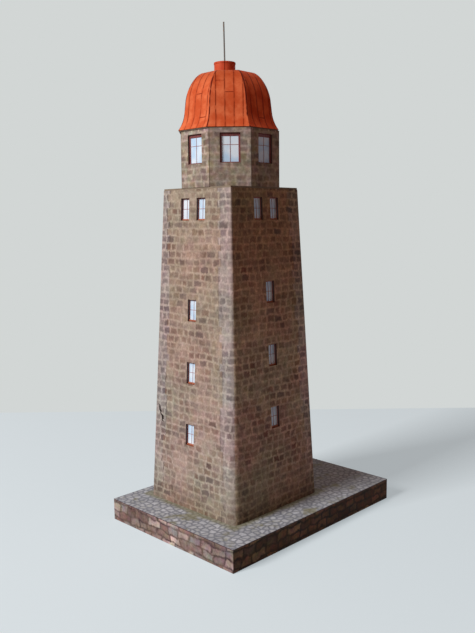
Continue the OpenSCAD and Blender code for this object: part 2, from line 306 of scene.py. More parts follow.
# The sheet of the left corner leans, so its band on the front is wider at the foot than at the
# head, and narrows between these heights
LEANING_BAND = (8.0, 3.6)
LEAN_FROM, LEAN_TO = 75.0, 145.0
# Below this height the bands lose their grey, by up to this share
BAND_FADE_H = 70.0
BAND_FADE = 0.75

# Heights over the paving between which the foot goes from painted shade to full tone and the
# print from neutral to warm, and on the right side the painted shade from deep to light and back
FOOT_SHADE_FROM, FOOT_SHADE_TO = -2.0, 20.0
WARM_FROM, WARM_TO = 20.0, 110.0
PALE_FROM, PALE_TO = 20.0, 130.0

# Strength of the seam along each face's right band. Of the left one, each material has its own.
RIGHT_SEAM = 0.4
# On the front the left seam has torn open between these heights. The tear slants from the edge
# of the band to this distance from the corner.
TEAR_LOW, TEAR_HIGH = 39.5, 48.0
TEAR_END = 3.6


def band_of(tree, up, to_corner, on_right, on_right_side, chance, left_band):
    """The band of quoins beside a corner: the distance from its toothed edge, and a share that
    is 0 on the band and 1 off it."""
    left_w = add(tree, "MapRange", [up, LEAN_FROM, LEAN_TO, *left_band])
    drawn_w = add(tree, "Mix", [on_right_side, left_w, NO_BAND], data_type="FLOAT")
    band_w = add(tree, "Mix", [on_right, drawn_w, QUOIN_BAND], data_type="FLOAT")
    is_long = add(tree, "Math", [chance, 0.5], operation="GREATER_THAN")
    toothed_w = add(tree, "Math", [is_long, TOOTH, band_w], operation="MULTIPLY_ADD")
    to_teeth = add(tree, "Math", [to_corner, toothed_w], operation="SUBTRACT")
    beside_band = add(tree, "MapRange", [to_teeth, -0.6, 0.6], **SMOOTH)
    low_down = add(tree, "MapRange", [up, BAND_FADE_H, 0.0], **SMOOTH)
    faded = add(tree, "Math", [low_down, BAND_FADE], operation="MULTIPLY")
    off_band = add(tree, "Math", [beside_band, faded], operation="MAXIMUM")
    return to_teeth, off_band


def patched_and_foot_shaded(tree, place, up, stones, patches):
    """The printed stones with reddish and olive patches, a warmer head, a foot darkened as painted
    shade, and darker and paler stretches along the courses."""
    olive = add(tree, "MapRange", [patches, 0.38, 0.62], **SMOOTH)
    cast = add(tree, "Mix", [olive, srgb("#fcece6"), srgb("#f3f4e9")], data_type="RGBA")
    high_up = add(tree, "MapRange", [up, WARM_FROM, WARM_TO], **SMOOTH)
    warmth = add(tree, "Mix", [high_up, srgb("#ffffff"), srgb("#fdf5ef")], data_type="RGBA")
    # Painted shade at the foot, where the wall meets the paving
    off_foot = add(tree, "MapRange", [up, FOOT_SHADE_FROM, FOOT_SHADE_TO], **SMOOTH)
    darkened = add(tree, "Mix", [off_foot, srgb("#e4ddd5"), warmth], data_type="RGBA")
    level_place = add(tree, "VectorMath", [place, (1.0, 1.0, 2.4)], operation="MULTIPLY")
    stretch = tone_of(tree, level_place, 14.0, 0.82, 1.09, Detail=3.0)
    tinged = add(tree, "VectorMath", [stones, cast], operation="MULTIPLY")
    foot_shaded = add(tree, "VectorMath", [tinged, darkened], operation="MULTIPLY")
    return add(tree, "VectorMath", [foot_shaded, stretch], operation="MULTIPLY")


def right_side_shade(tree, up, stones):
    """Painted shade for the right side, which lies in shade: the same stones in darker, deeper
    tones, the shade lightest at mid-height.
    """
    shade_deepened = add(tree, "Gamma", [stones, 1.4])
    share = add(tree, "MapRange", [up, PALE_FROM, PALE_TO])
    tint = add(tree, "ValToRGB", [share], stops=["#dcdcd8", "#fafcff", "#dadacb"])
    tinted = add(tree, "VectorMath", [shade_deepened, tint], operation="MULTIPLY")
    return add(tree, "VectorMath", {"Vector": tinted, "Scale": 2.2}, operation="SCALE")


def seam_of(tree, place, to_teeth, dashes):
    """Share of a dark seam at a point: a swaying line along the toothed edge of a band, in
    dashes."""
    off_seam = off_line(tree, place, to_teeth, 4, 2.4)
    line = add(tree, "MapRange", [off_seam, 0.45, 0.15], **SMOOTH)
    dash = add(tree, "MapRange", [dashes, 0.42, 0.56], **SMOOTH)
    return add(tree, "Math", [line, dash], operation="MULTIPLY")


def tear_of(tree, place, up, to_corner, band_w, dashes):
    """Share of the tear at a point: a jagged slanting gap, wider where it bulges."""
    tear_x = add(tree, "MapRange", [up, TEAR_LOW, TEAR_HIGH, band_w, TEAR_END], clamp=False)
    off_tear = add(tree, "Math", [to_corner, tear_x], operation="SUBTRACT")
    tear_gap = off_line(tree, place, off_tear, 2.6, 5.0)
    bulge = add(tree, "MapRange", [dashes, 0.4, 0.6], **SMOOTH)
    half_gap = add(tree, "Math", [bulge, 0.5, 0.3], operation="MULTIPLY_ADD")
    past_edge = add(tree, "Math", [tear_gap, half_gap], operation="SUBTRACT")
    gaping = add(tree, "MapRange", [past_edge, 0.2, -0.15], **SMOOTH)
    off_middle = add(tree, "Math", [up, (TEAR_LOW + TEAR_HIGH) / 2], operation="SUBTRACT")
    half_h = (TEAR_HIGH - TEAR_LOW) / 2
    above_or_below = add(tree, "Math", [off_middle], operation="ABSOLUTE")
    within = add(tree, "MapRange", [above_or_below, half_h + 0.3, half_h - 0.3], **SMOOTH)
    return add(tree, "Math", [within, gaping], operation="MULTIPLY")


def shaft_stone(name, left_band, left_seam, has_cut_edges, is_torn=False):
    """Card printed with coursed stone: soft brown stones in thin pale mortar, which read as
    hewn stone. Bands of greyer stones with a toothed edge and a dark seam run beside the
    corners, which are paler along the corner line, and the cut edges of the window openings are
    painted. The right side, which lies in shade, and the foot get painted shade."""
    made, tree, surface, place = new_material(name, roughness=0.66, specular=0.12)
    side, across, out, z = round_axis(tree, place, (0.0, 0.0, 0.0), 4)
    up = add(tree, "Math", [z, PAVING_Z], operation="SUBTRACT")
    gap, tint, chance = courses(tree, place, across, up, side, COURSE, STONE, wander=2.2)
    dice = add(tree, "SeparateColor", [tint])

    # Where a point is: its distance to the corner line of the face, and its side
    half = add(tree, "Math", [up, -math.tan(BATTER), FOOT_HALF], operation="MULTIPLY_ADD")
    to_corner = to_next_side(tree, across, half)
    on_right = add(tree, "Math", [across, 0.0], operation="GREATER_THAN")
    axes = add(tree, "SeparateXYZ", [place])
    off_axis = add(tree, "Math", [axes.outputs["Y"]], operation="ABSOLUTE")
    rightwards = add(tree, "Math", [axes.outputs["X"], off_axis], operation="SUBTRACT")
    on_right_side = add(tree, "MapRange", [rightwards, -0.5, 2.0], **SMOOTH)
    to_teeth, off_band = band_of(
        tree, up, to_corner, on_right, on_right_side, chance, left_band
    )

    field = add(tree, "ValToRGB", [dice.outputs["Red"]], stops=FIELD_STONES)
    quoin = add(tree, "ValToRGB", [dice.outputs["Red"]], stops=QUOIN_STONES)
    mortar = add(tree, "Mix", [off_band, srgb("#b8b3b8"), srgb("#b1a8a2")], data_type="RGBA")
    stone = add(tree, "Mix", [off_band, quoin, field], data_type="RGBA")
    stones = printed_stones(tree, place, gap, dice, stone, mortar, shallow=0.5, flecked=0.2)

    patches = add(tree, "TexNoise", {"Vector": place, "Scale": 1 / 32, "Detail": 3.0})
    mottled = patched_and_foot_shaded(tree, place, up, stones, patches)

    # Painted shade: the right side, which lies in shade, is darker and deeper in tone
    shade_deepened = right_side_shade(tree, up, mottled)
    right_shaded = add(tree, "Mix", [on_right_side, mottled, shade_deepened], data_type="RGBA")

    # The dark seams along the bands, and on the front the tear
    dashes = add(tree, "TexNoise", {"Vector": place, "Scale": 1 / 7, "Detail": 2.0})
    on_left = add(tree, "Math", [on_right, -1.0, 1.0], operation="MULTIPLY_ADD")
    strength = add(tree, "Mix", [on_left, RIGHT_SEAM, left_seam], data_type="FLOAT")
    drawn_seam = seam_of(tree, place, to_teeth, dashes)
    seam = add(tree, "Math", [drawn_seam, strength], operation="MULTIPLY")
    colour = add(tree, "Mix", [seam, right_shaded, srgb("#463530")], data_type="RGBA")
    if is_torn:
        torn = tear_of(tree, place, up, to_corner, left_band[0], dashes)
        tear = add(tree, "Math", [torn, on_left], operation="MULTIPLY")
        colour = add(tree, "Mix", [tear, colour, srgb("#241a18")], data_type="RGBA")

    # The pale strip along each corner line, and the cut edges
    near_corner = add(tree, "MapRange", [to_corner, 1.7, 0.4], **SMOOTH)
    corner_patches = add(tree, "MapRange", [patches, 0.3, 0.5], **SMOOTH)
    corner_pallor = add(tree, "Math", [near_corner, corner_patches], operation="MULTIPLY")
    faint_corner_pallor = add(tree, "Math", [corner_pallor, 0.15], operation="MULTIPLY")
    colour = add(tree, "Mix", [faint_corner_pallor, colour, srgb("#c9b5a8")], data_type="RGBA")
    if has_cut_edges:
        colour = with_cut_edges(tree, colour, half, out)
    colour_card(tree, surface, place, colour)
    return made


# ---- material of the lantern ----

LANTERN_COURSE = 3.2
LANTERN_STONE = 4.9
LANTERN_STONES = ["#564446", "#80725f", "#665455", "#93836c", "#4f3f40", "#796b5c", "#6b5652"]


def lantern_stone():
    """Card printed with large soft stones, which read as weathered ashlar. Thin dark lines are
    the mitred joints between the sides, and the cut edges of the window openings are painted."""
    made, tree, surface, place = new_material(
        "printed_card_lantern_ashlar", roughness=0.66, specular=0.05
    )
    side, across, out, z = round_axis(tree, place, (0.0, 0.0, 0.0), 8)
    up = add(tree, "Math", [z, LANTERN_Z], operation="SUBTRACT")
    gap, tint, _ = courses(
        tree, place, across, up, side, LANTERN_COURSE, LANTERN_STONE, wander=1.6
    )
    dice = add(tree, "SeparateColor", [tint])
    stone = add(tree, "ValToRGB", [dice.outputs["Red"]], stops=LANTERN_STONES)
    mortar = srgb("#a6998d")
    stones = printed_stones(
        tree, place, gap, dice, stone, mortar, shallow=0.5, flecked=0.5, patchy=0.5
    )

    stretch_place = add(tree, "VectorMath", [place, (1.0, 1.0, 2.0)], operation="MULTIPLY")
    stretch = tone_of(tree, stretch_place, 8.0, 0.79, 1.13, Detail=2.0)
    # Every other side, the four that stand square to the shaft, is paler, and the four slanting
    # ones darker
    is_slanting = add(tree, "Math", [side, 2.0], operation="MODULO")
    pallor = add(tree, "MapRange", [is_slanting, 0.0, 1.0, 1.15, 0.955])
    tone = add(tree, "Math", [stretch, pallor], operation="MULTIPLY")
    toned = add(tree, "VectorMath", [stones, tone], operation="MULTIPLY")

    # The mitred joints
    half = add(tree, "Math", [out, math.tan(math.pi / 8)], operation="MULTIPLY")
    to_joint = to_next_side(tree, across, half)
    line = add(tree, "MapRange", [to_joint, 0.4, 0.15], **SMOOTH)
    faint_line = add(tree, "Math", [line, 0.6], operation="MULTIPLY")
    jointed = add(tree, "Mix", [faint_line, toned, srgb("#4a3b32")], data_type="RGBA")
    colour = with_cut_edges(tree, jointed, HEAD_HALF, out)
    colour_card(tree, surface, place, colour)
    return made


# ---- materials of the dome ----

# Distance from seam to seam, how far a bay's middle lies to the right of its petal's, and the
# width in which the seams sway
SEAM_PITCH = 4.15
SEAM_SHIFT = 0.63
SEAM_SWAY = 0.5
# Heights of the cross joints: the lowest above the eave, and the step from one to the next
JOINT_LOW = 4.8
JOINT_STEP = 5.5
# Draws which bay has its joint at which step. At the last two steps it has none.
JOINT_STEPS = 5.999
JOINT_SEED = 6314717.0
# Heights, as shares of the roof's, between which painted shade darkens the roof towards its crown
CROWN_FROM, CROWN_TO = 0.6, 0.98


def roof_strokes(tree, place, side, across, z):
    """Share of the seams and cross joints at a point, as a worn pen draws them. Also returns
    the distance to the nearest seam."""
    drift = add(tree, "TexNoise", {"Vector": place, "Scale": 1 / 6, "Detail": 1.0})
    swayed = add(tree, "Math", [drift, SEAM_SWAY, across], operation="MULTIPLY_ADD")
    shift = -SEAM_SHIFT - SEAM_SWAY / 2 + SEAM_PITCH / 2
    shifted = add(tree, "Math", [swayed, shift], operation="ADD")
    seam_gap = add(tree, "Math", [shifted, SEAM_PITCH / 2], operation="PINGPONG")
    bays = add(tree, "Math", [shifted, SEAM_PITCH], operation="DIVIDE")
    bay = add(tree, "Math", [bays], operation="FLOOR")
    seeded = add(tree, "Math", [bay, JOINT_SEED], operation="ADD")
    key = add(tree, "CombineXYZ", [seeded, side, 0.0])
    chance = add(tree, "TexWhiteNoise", {"Vector": key}, noise_dimensions="2D")
    pick = add(tree, "Math", [chance.outputs["Value"], JOINT_STEPS], operation="MULTIPLY")
    step = add(tree, "Math", [pick], operation="FLOOR")
    joint_z = add(tree, "Math", [step, JOINT_STEP, JOINT_LOW], operation="MULTIPLY_ADD")
    off_joint = add(tree, "Math", [z, joint_z], operation="SUBTRACT")
    joint_gap = add(tree, "Math", [off_joint], operation="ABSOLUTE")
    seam = add(tree, "MapRange", [seam_gap, 0.3, 0.1], **SMOOTH)
    joint = add(tree, "MapRange", [joint_gap, 0.28, 0.1], **SMOOTH)
    strokes = add(tree, "Math", [seam, joint], operation="MAXIMUM")
    inked = patches_of(tree, place, 2.5, 0.25, 0.6, Detail=2.0)
    drawn = add(tree, "Math", [strokes, inked], operation="MULTIPLY")
    return drawn, seam_gap


def roof_print():
    """Card printed as painted sheet roofing: warm orange bays between thin maroon seams, with
    short cross joints at staggered heights, and dark cut edges along the hips. Towards the crown
    the colour is darkened as painted shade, and the right petal, which lies in shade, is painted a
    deeper red throughout as painted shade."""
    made, tree, surface, place = new_material(
        "printed_card_sheet_roofing", roughness=0.55, specular=0.07
    )
    side, across, out, z = round_axis(tree, place, (ROOF_X, ROOF_Y, EAVE_Z), 8)
    drawn, seam_gap = roof_strokes(tree, place, side, across, z)

    # Bays differ a little, and darken towards their seams
    clouds = patches_of(tree, place, 6, 0.33, 0.67, Detail=4.0, Roughness=0.6)
    paint = add(tree, "Mix", [clouds, srgb("#c8542c"), srgb("#e2754a")], data_type="RGBA")
    flank = add(tree, "MapRange", [seam_gap, 1.1, 0.1], **SMOOTH)
    shade = add(tree, "Math", [flank, 0.22], operation="MULTIPLY")
    shaded = add(tree, "Mix", [shade, paint, srgb("#9a361a")], data_type="RGBA")
    seamed = add(tree, "Mix", [drawn, shaded, srgb("#82280f")], data_type="RGBA")

    # The hips
    half = add(tree, "Math", [out, math.tan(math.pi / 8)], operation="MULTIPLY")
    to_hip = to_next_side(tree, across, half)
    hip = add(tree, "MapRange", [to_hip, 0.5, 0.22], **SMOOTH)
    kept = patches_of(tree, place, 4, 0.3, 0.55, Detail=2.0)
    edged = add(tree, "Math", [hip, kept], operation="MULTIPLY")
    hipped = add(tree, "Mix", [edged, seamed, srgb("#64160a")], data_type="RGBA")

    # Painted shade, darkening the roof towards its crown
    shade_to_crown = add(tree, "MapRange", [z, CROWN_FROM * ROOF_H, CROWN_TO * ROOF_H], **SMOOTH)
    crown_shade = add(tree, "Mix", [shade_to_crown, srgb("#ffffff"), srgb("#e1cdbe")], data_type="RGBA")
    toned = add(tree, "VectorMath", [hipped, crown_shade], operation="MULTIPLY")
    # Painted shade: the right petal, which lies in shade, is deepened to a darker red
    right_side = float(SIDES.index("right"))
    on_right = add(tree, "Math", [side, right_side, 0.1], operation="COMPARE")
    shade_deepened = add(tree, "Gamma", [hipped, 1.2])
    right_petal_shade = add(tree, "VectorMath", {"Vector": shade_deepened, "Scale": 1.22}, operation="SCALE")
    colour = add(tree, "Mix", [on_right, toned, right_petal_shade], data_type="RGBA")
    colour_card(tree, surface, place, colour)
    return made


def cap_print():
    """The same roofing print wrapped round the cap, with its glued seam on one side."""
    made, tree, surface, place = new_material("printed_card_cap", roughness=0.55, specular=0.07)
    side, across, _, _ = round_axis(tree, place, (CAP_X, CAP_Y, EAVE_Z), 8)
    glued_side = float(SIDES.index("front_right"))
    at_side = add(tree, "Math", [side, glued_side, 0.1], operation="COMPARE")
    off_seam = add(tree, "Math", [across], operation="ABSOLUTE")
    near = add(tree, "MapRange", [off_seam, 0.3, 0.1], **SMOOTH)
    seam = add(tree, "Math", [near, at_side], operation="MULTIPLY")
    clouds = patches_of(tree, place, 3, 0.35, 0.65, Detail=3.0)
    paint = add(tree, "Mix", [clouds, srgb("#c04a2c"), srgb("#cf5a3a")], data_type="RGBA")
    seamed = add(tree, "Mix", [seam, paint, srgb("#74200c")], data_type="RGBA")
    colour_card(tree, surface, place, seamed)
    return made


# ---- materials of the terrace ----

BLOCK_W = 7.6
BLOCK_H = 3.8
RUBBLE_STONES = ["#756361", "#c2b2ac", "#937e77", "#dad1cc"]
RUBBLE_STONES += ["#886d67", "#acacb0", "#a6938a", "#e8e0dc"]
COBBLE = 3.2
COBBLES = ["#adb1b9", "#c2c7d0", "#b2b6b9", "#ccd1d9", "#a8acb5"]


def rubble(tree, place):
    """Colour of roughly squared blocks in uneven courses, run round the terrace's sides: reddish
    brown, rose and grey, blotched, with joints that are dark in places and soft in others. On the
    right side, which lies in shade, the colour is darkened and deepened as painted shade."""
    facing = add(tree, "NewGeometry")
    normal = add(tree, "SeparateXYZ", [facing.outputs["Normal"]])
    sideways = add(tree, "Math", [normal.outputs["X"]], operation="ABSOLUTE")
    axes = add(tree, "SeparateXYZ", [place])
    runs_along_y = add(tree, "Math", [sideways, 0.5], operation="GREATER_THAN")
    along = add(
        tree, "Mix", [runs_along_y, axes.outputs["X"], axes.outputs["Y"]], data_type="FLOAT"
    )
    on_right = add(tree, "Math", [normal.outputs["X"], 0.5], operation="GREATER_THAN")
    gap, tint, _ = courses(
        tree, place, along, axes.outputs["Z"], on_right, BLOCK_H, BLOCK_W, wander=5.0
    )
    dice = add(tree, "SeparateColor", [tint])
    stone = add(tree, "ValToRGB", [dice.outputs["Red"]], stops=RUBBLE_STONES)
    veins = tone_of(tree, place, 9.0, 0.0, 1.0, Detail=2.0)
    mortar = add(tree, "Mix", [veins, srgb("#40353b"), srgb("#7a6a60")], data_type="RGBA")
    blocks = printed_stones(tree, place, gap, dice, stone, mortar, shallow=0.4, flecked=0.6)
    clouds = tone_of(tree, place, 16.0, 0.0, 1.0, Detail=3.0)
    blotches = add(tree, "Mix", [clouds, srgb("#dccac4"), srgb("#fffefe")], data_type="RGBA")
    blotched = add(tree, "VectorMath", [blocks, blotches], operation="MULTIPLY")
    # Painted shade: the right wall, which lies in shade, is darkened and deepened
    depth = add(tree, "Mix", [on_right, 1.0, 1.5], data_type="FLOAT")
    shade_deepened = add(tree, "Gamma", [blotched, depth])
    shade = add(tree, "Mix", [on_right, srgb("#ffffff"), srgb("#e6d2b0")], data_type="RGBA")
    return add(tree, "VectorMath", [shade_deepened, shade], operation="MULTIPLY")


def terrace_stone():
    """Card printed with enlarged rubble stone, blotched and dark in the joints."""
    made, tree, surface, place = new_material(
        "printed_card_rubble_stone", roughness=0.62, specular=0.1
    )
    colour_card(tree, surface, place, rubble(tree, place))
    return made


def paving():
    """Card printed with rounded grey cobbles in blue-grey joints, stained brown and olive in
    places. Its edges carry the rubble print of the walls below, under a dark cut line."""
    made, tree, surface, place = new_material(
        "printed_card_cobbles", roughness=0.6, specular=0.15
    )
    flat = add(tree, "VectorMath", [place, (1 / COBBLE, 1 / COBBLE, 0.0)], operation="MULTIPLY")
    waves = {"Vector": flat, "Scale": 1.1, "Detail": 1.0}
    drift = add(tree, "TexNoise", waves, noise_dimensions="2D")
    sway = add(tree, "VectorMath", [drift.outputs["Color"], (0.3, 0.3, 0.0)], operation="MULTIPLY")
    swayed = add(tree, "VectorMath", [flat, sway], operation="ADD")
    cell = {"Vector": swayed, "Scale": 1.0, "Randomness": 0.85}
    cobble = add(tree, "TexVoronoi", cell, voronoi_dimensions="2D")
    edges = add(tree, "TexVoronoi", cell, voronoi_dimensions="2D", feature="DISTANCE_TO_EDGE")
    dice = add(tree, "SeparateColor", [cobble.outputs["Color"]])
    stone = add(tree, "ValToRGB", [dice.outputs["Red"]], stops=COBBLES)
    crown = add(tree, "MapRange", [edges.outputs["Distance"], 0.0, 0.3], **SMOOTH)
    laid = add(tree, "Mix", [crown, srgb("#878b96"), stone], data_type="RGBA")
    fine = tone_of(tree, place, 0.9, 0.88, 1.1, Detail=2.0)
    coarse = tone_of(tree, place, 9.0, 0.87, 1.1, Detail=2.0)
    tone = add(tree, "Math", [fine, coarse], operation="MULTIPLY")
    mottled = add(tree, "VectorMath", [laid, tone], operation="MULTIPLY")

    # Stains: patches at random, and a ragged rim round the foot of the shaft
    patches = add(
        tree, "TexNoise", {"Vector": place, "Scale": 1 / 13, "Detail": 4.0, "Roughness": 0.62}
    )
    patch = add(tree, "MapRange", [patches, 0.56, 0.68], **SMOOTH)
    _, _, out, z = round_axis(tree, place, (0.0, 0.0, 0.0), 4)
    away = add(tree, "Math", [out, FOOT_HALF], operation="SUBTRACT")
    ragged = add(tree, "Math", [patches, -9.0, away], operation="MULTIPLY_ADD")
    rim = add(tree, "MapRange", [ragged, 0.0, -3.5], **SMOOTH)
    darkened = add(tree, "Math", [patch, rim], operation="MAXIMUM")
    stain = add(tree, "Math", [darkened, 0.65], operation="MULTIPLY")
    worn = add(tree, "Mix", [stain, mottled, srgb("#7f7a4c")], data_type="RGBA")

    # Round the edge the print of the walls runs on, up to a dark line
    below = add(tree, "Math", [PAVING_Z, z], operation="SUBTRACT")
    on_edge = add(tree, "MapRange", [below, 0.02, 0.06], **SMOOTH)
    line = add(tree, "MapRange", [below, 0.5, 0.3], **SMOOTH)
    rimmed = add(tree, "Mix", [line, rubble(tree, place), srgb("#4a343a")], data_type="RGBA")
    colour = add(tree, "Mix", [on_edge, worn, rimmed], data_type="RGBA")
    colour_card(tree, surface, place, colour)
    return made


# ---- materials of the windows, the door and the spire ----


def glazing_print():
    """Satin card printed as glass: a pale sky blue with soft paler clouds, a painted reflection of
    the sky, and a mild gloss."""
    sheen = {"Specular Tint": srgb("#98c4ff")}
    made, tree, surface, place = new_material(
        "satin_card_glazing", roughness=0.26, specular=1.0, **sheen
    )
    clouds = patches_of(tree, place, 9, 0.35, 0.65, Detail=2.0)
    # Paler clouds painted on the blue as a reflection of the sky
    painted_sky_reflection = add(tree, "Mix", [clouds, srgb("#c0def9"), srgb("#e9f5ff")], data_type="RGBA")
    colour_card(tree, surface, place, painted_sky_reflection, relief=0.004)
    return made


# Sizes of a brush stroke and of a spot of rust: 1.4 and 1.2 of them go into a millimetre
STROKE = 1 / 1.4
SPOT = 1 / 1.2


def painted_card(name, dark, light):
    """Card painted by brush: two close tones of the colour in fine streaks."""
    made, tree, surface, place = new_material(name, roughness=0.55)
    drawn_out = add(tree, "VectorMath", [place, (1.0, 1.0, 0.25)], operation="MULTIPLY")
    streaks = patches_of(tree, drawn_out, STROKE, 0.3, 0.7, Detail=3.0)
    colour = add(tree, "Mix", [streaks, srgb(dark), srgb(light)], data_type="RGBA")
    colour_card(tree, surface, place, colour)
    return made


def oiled_wire():
    """Blackened steel wire: dark, with a dull metal shine and a few brown spots of rust."""
    made, tree, surface, place = new_material(
        "blackened_steel_wire", roughness=0.48, Metallic=0.7
    )
    rust = patches_of(tree, place, SPOT, 0.5, 0.7, Detail=3.0)
    colour = add(tree, "Mix", [rust, srgb("#5b5652"), srgb("#6b4a38")], data_type="RGBA")
    tree.links.new(output_of(colour), surface.inputs["Base Color"])
    return made


# ---- the openings, and strips of card on what closes them ----


def shells(node):
    """The corner points, in millimetres, of each separate sheet in a CAD node. Triangles that
    share a point take the lowest label among their points until no label changes."""
    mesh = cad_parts[node].data
    points = np.empty(len(mesh.vertices) * 3)
    mesh.vertices.foreach_get("co", points)
    corners = np.empty(len(mesh.loops), int)
    mesh.loops.foreach_get("vertex_index", corners)
    rounded = np.round(points.reshape(-1, 3) / MM, 4)
    unique, same = np.unique(rounded, axis=0, return_inverse=True)
    triangles = same.reshape(-1)[corners].reshape(-1, 3)
    labels = np.arange(len(unique))
    before = None
    while before is None or (labels != before).any():
        before = labels.copy()
        lowest = labels[triangles].min(1)
        np.minimum.at(labels, triangles, lowest[:, None])
    return [unique[labels == label] for label in np.unique(labels)]


def openings(node, sides, lean):
    """The openings that a node's sheets close, from behind: for each one the middle of its
    sheet's outer face, the unit vectors across it, up it and out of it, and half its width and
    height. The sheets face one of that many sides, and lean back by that angle."""
    found = []
    for points in shells(node):
        centre = points.mean(0)
        step = math.tau / sides
        turn = round(math.atan2(centre[0], -centre[1]) / step) * step
        across = np.array([math.cos(turn), math.sin(turn), 0])
        level = np.array([math.sin(turn), -math.cos(turn), 0])
        out = level * math.cos(lean) + np.array([0, 0, math.sin(lean)])
        up = np.cross(out, across)
        spread = (points - centre) @ np.array([across, up, out]).T
        half_w, half_h, _ = (spread.max(0) - spread.min(0)) / 2
        face = centre + out * spread[:, 2].max()
        found.append((face, across, up, out, half_w - LAP, half_h - LAP))
    return found


def placed(opening, u, v, w):
    """Points at u across, v up and w out from the middle of an opening, in metres."""
    centre, across, up, out = opening[:4]
    points = centre + u[..., None] * across + v[..., None] * up + w[..., None] * out
    return points * MM


def ring_of(opening, widths, rise):
    """A frame in an opening: a chamfered strip carried round its rectangle, mitred at the
    corners. Widths are those of the sides, the head and the sill. The corners run
    counter-clockwise, and at each one the profile steps in from the opening by a share of
    those widths."""
    side_w, head_w, sill_w = widths
    half_w, half_h = opening[4:]
    sx = np.array([1, 1, -1, -1])
    sy = np.array([-1, 1, 1, -1])
    share = np.array([0.02, 0.02, 0.8, 1.0, 1.0])
    proud = np.array([0.0, 1.0, 1.0, 0.55, 0.0]) * rise
    edge_w = np.where(sy > 0, head_w, sill_w)
    u = sx[:, None] * (half_w - share * side_w)
    v = sy[:, None] * (half_h - share * edge_w[:, None])
    points = placed(opening, u, v, np.broadcast_to(proud, u.shape))
    corners, steps = u.shape
    k, j = np.meshgrid(np.arange(corners), np.arange(steps), indexing="ij")
    here, there = k * steps, (k + 1) % corners * steps
    j_next = (j + 1) % steps
    quads = np.stack([here + j, there + j, there + j_next, here + j_next], -1)
    return points.reshape(-1, 3), [tuple(q) for q in quads.reshape(-1, 4)[:, ::-1]]


def strip_of(opening, start, end, width, rise):
    """A straight bar from start to end, two places across and up the opening: its chamfered
    profile, a flat-topped roof shape, stands at both ends and closes them."""
    start, end = np.array(start, float), np.array(end, float)
    along = (end - start) / np.linalg.norm(end - start)
    beside = np.array([-along[1], along[0]])
    shift = np.array([-0.5, -0.5, -0.3, 0.3, 0.5, 0.5]) * width
    proud = np.array([0.0, 0.6, 1.0, 1.0, 0.6, 0.0]) * rise
    flat = np.stack([start, end])[:, None] + shift[:, None] * beside
    w = np.broadcast_to(proud, flat.shape[:2])
    points = placed(opening, flat[..., 0], flat[..., 1], w)
    steps = len(shift)
    j = np.arange(steps)
    j_next = (j + 1) % steps
    quads = np.stack([j, j + steps, j_next + steps, j_next], -1)
    faces = [tuple(q) for q in quads] + [tuple(j), tuple(2 * steps - 1 - j)]
    return points.reshape(-1, 3), faces


def add_piece(name, parts, material):
    """One piece from several closed parts, riding on the tower's body."""
    points = []
    faces = []
    for part_points, part_faces in parts:
        faces += [tuple(i + len(points) for i in face) for face in part_faces]
        points += part_points.tolist()
    mesh = bpy.data.meshes.new(name)
    mesh.from_pydata(points, [], faces)
    mesh.validate()
    mesh.materials.append(material)
    piece = bpy.data.objects.new(name, mesh)
    bpy.context.scene.collection.objects.link(piece)
    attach(piece, "root")


# ---- window bars, sills and door boards ----

# Widths of a frame's sides, head and sill
SHAFT_FRAME = (0.3, 0.5, 0.2)
LANTERN_FRAME = (0.9, 1.5, 0.45)
FRAME_RISE = 0.25
SILL_H = 0.75
SILL_RISE = 0.5
SILL_GAP = 0.02
BAR_W = 0.2
BAR_RISE = 0.18
# Bars end under the frame, this far inside the opening, and mullions this far under its head
BAR_INSET = 0.3
SHAFT_HEAD_INSET = 0.6
LANTERN_HEAD_INSET = 0.7
# A transom is lower than the mullion, so that their faces don't meet
TRANSOM_RISE = 0.8 * BAR_RISE
# A shaft window's transom stands just over its middle, and a lantern window's at this share of
# the height that its frame leaves
SHAFT_TRANSOM_V = 0.2
LANTERN_TRANSOM = 0.33
LANTERN_FRAME_H = 1.9

BOARDS = 5
BOARD_GAP = 0.06
BOARD_RISE = 0.3
RAIL_W = 1.1
RAIL_RISE = 0.5
# Height of the rails over and under the middle, as a share of half the door's
RAIL_V = 0.6
DOOR_GAP = 0.1


def transom(opening, v):
    """A thin bar across an opening at height v over its middle."""
    end = opening[4] - BAR_INSET
    return strip_of(opening, (-end, v), (end, v), BAR_W, TRANSOM_RISE)


def shaft_window(opening):
    """Frame, mullion and transom of one shaft window."""
    half_h = opening[5]
    mullion = ((0, -half_h + SILL_H), (0, half_h - SHAFT_HEAD_INSET))
    return [
        ring_of(opening, SHAFT_FRAME, FRAME_RISE),
        strip_of(opening, *mullion, BAR_W, BAR_RISE),
        transom(opening, SHAFT_TRANSOM_V),
    ]


def shaft_sill(opening):
    """The painted sill inside one shaft window: a low wedge over its whole width."""
    half_w, half_h = opening[4:]
    end = half_w - SILL_GAP
    v = -half_h + SILL_H / 2
    return strip_of(opening, (-end, v), (end, v), SILL_H, SILL_RISE)


def lantern_window(opening):
    """Mullion and a high transom of one lantern window."""
    half_h = opening[5]
    mullion = ((0, -half_h + BAR_INSET), (0, half_h - LANTERN_HEAD_INSET))
    transom_v = half_h - LANTERN_FRAME[1] - (2 * half_h - LANTERN_FRAME_H) * LANTERN_TRANSOM
    return [strip_of(opening, *mullion, BAR_W, BAR_RISE), transom(opening, transom_v)]


